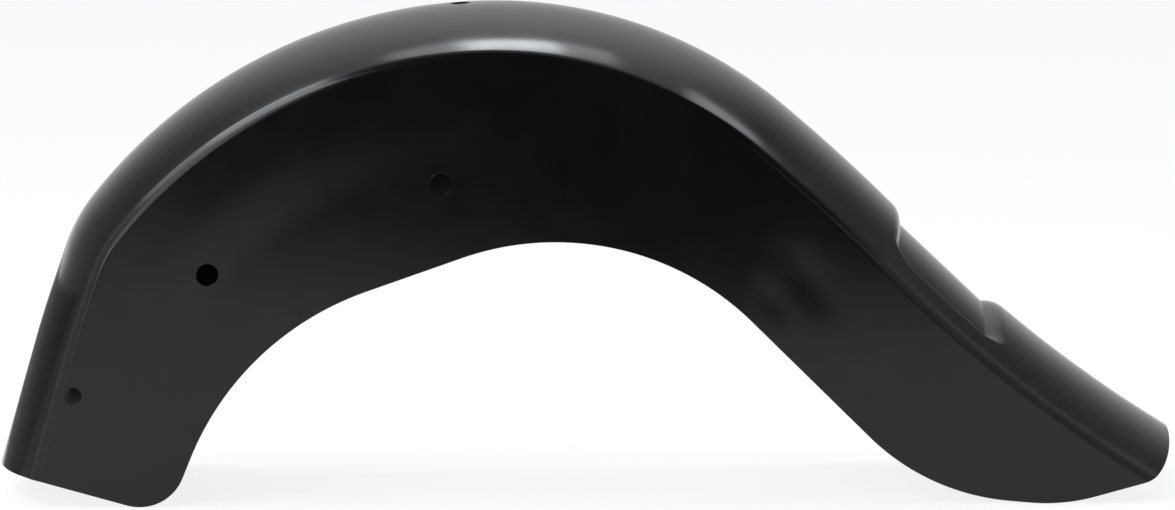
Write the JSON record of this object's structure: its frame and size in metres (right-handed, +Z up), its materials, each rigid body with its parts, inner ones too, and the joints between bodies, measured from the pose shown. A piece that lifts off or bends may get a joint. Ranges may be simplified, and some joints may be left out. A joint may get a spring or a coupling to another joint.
{
  "type": "motorcycle rear fender",
  "caption": "Pressed steel rear fender for a cruiser motorcycle: arched crown, flat sides with bolt holes, lamp pocket near the upswept tail, satin black paint.",
  "frame": {"origin": "middle of the bounding box in X and Y, at the height of the lowest cut edge, on which the fender stands", "axes": "+X from the front foot to the tail, +Y towards the motorcycle's right side, +Z up"},
  "size_m": [1.018, 0.2, 0.4243],
  "materials": {
    "black_paint": "satin gloss black coat"
  },
  "bodies": {
    "root": {"fender_shell": "black_paint"}
  },
  "joints": []
}
